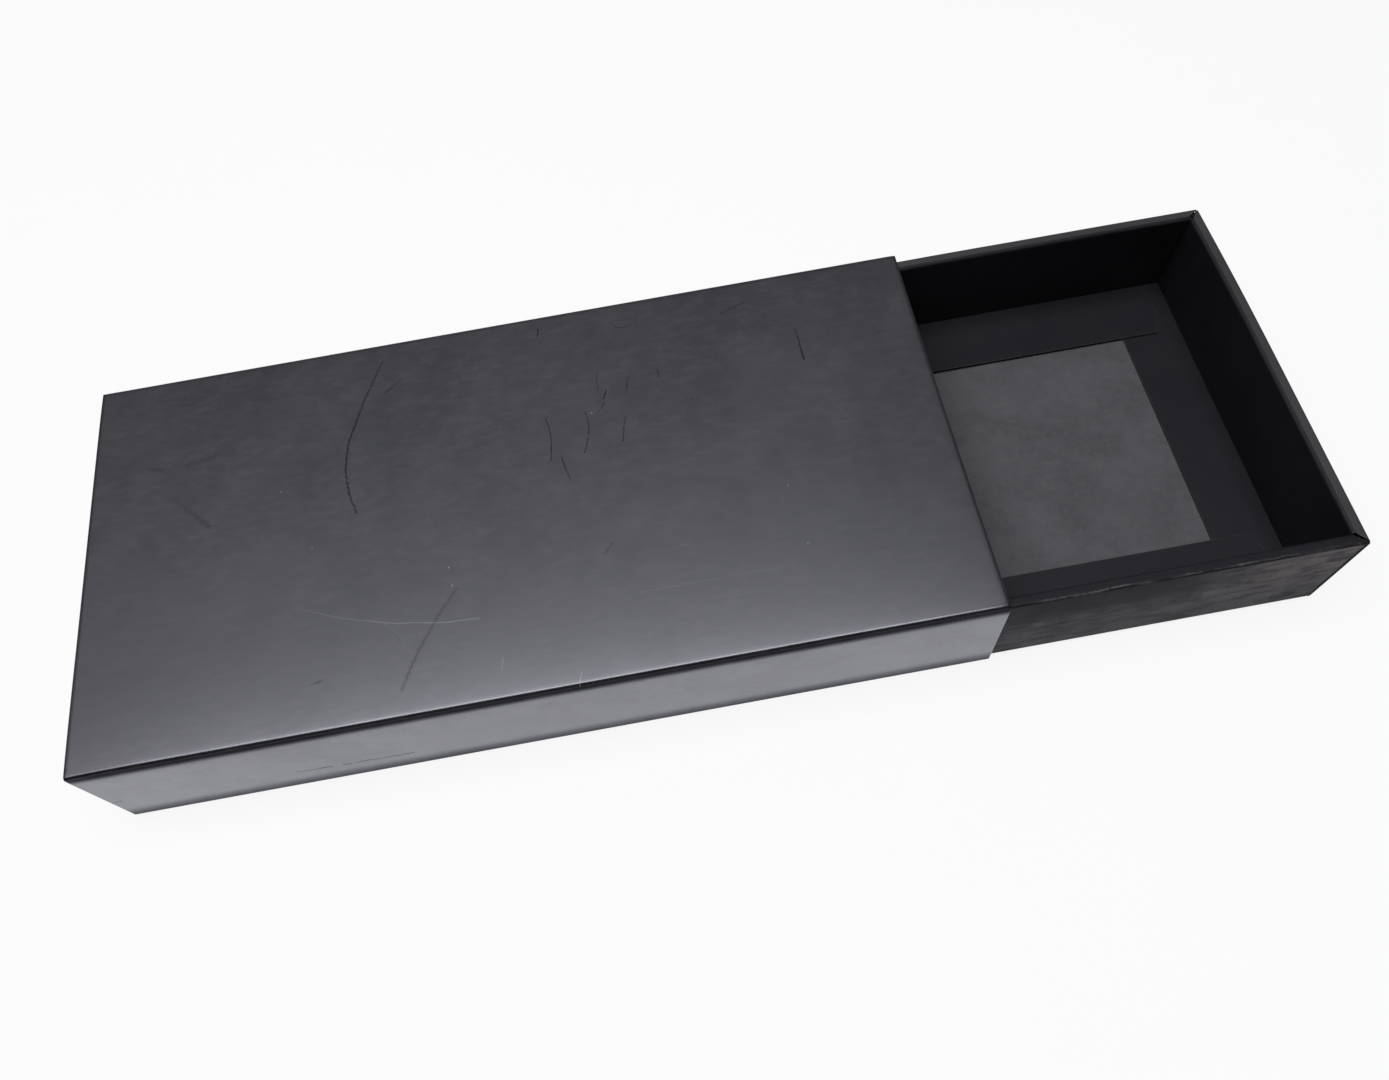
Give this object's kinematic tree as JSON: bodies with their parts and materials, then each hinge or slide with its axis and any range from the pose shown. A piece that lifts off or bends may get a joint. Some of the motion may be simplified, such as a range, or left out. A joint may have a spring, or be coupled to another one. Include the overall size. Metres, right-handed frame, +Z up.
{
  "type": "sliding drawer gift box",
  "caption": "Flat card gift box: a hollow-walled tray slides out of a sleeve that is open at both ends.",
  "frame": {"origin": "middle of the sleeve's underside", "axes": "+X along the box, the way the tray pulls out; +Y towards the sleeve's glued back edge; +Z up, through the large top panel"},
  "size_m": [0.3387, 0.12, 0.036],
  "materials": {
    "black_card": "matt film on black card, lightly scuffed",
    "tray_card": "matt black card, rubbed at the rims",
    "grey_reverse": "unprinted dark grey reverse of the card, slightly mottled"
  },
  "bodies": {
    "sleeve": {"sleeve_bottom_panel": "black_card", "sleeve_front_panel": "black_card", "sleeve_top_panel": "black_card", "sleeve_back_panel": "black_card", "sleeve_glue_flap": "black_card"},
    "tray": {"tray_floor_panel": "grey_reverse", "tray_front_outer_wall": "tray_card", "tray_front_rim": "tray_card", "tray_front_inner_wall": "tray_card", "tray_front_floor_flap": "tray_card", "tray_front_left_corner_tab": "tray_card", "tray_front_right_corner_tab": "tray_card", "tray_back_outer_wall": "tray_card", "tray_back_rim": "tray_card", "tray_back_inner_wall": "tray_card", "tray_back_floor_flap": "tray_card", "tray_back_left_corner_tab": "tray_card", "tray_back_right_corner_tab": "tray_card", "tray_left_end_outer_wall": "tray_card", "tray_left_end_rim": "tray_card", "tray_left_end_inner_wall": "tray_card", "tray_left_end_floor_flap": "tray_card", "tray_right_end_outer_wall": "tray_card", "tray_right_end_rim": "tray_card", "tray_right_end_inner_wall": "tray_card", "tray_right_end_floor_flap": "tray_card"}
  },
  "joints": [
    {"name": "tray_slide", "type": "slide", "parent": "sleeve", "child": "tray", "axis": [1, 0, 0], "range_m": [-0.095, 0.15]}
  ]
}
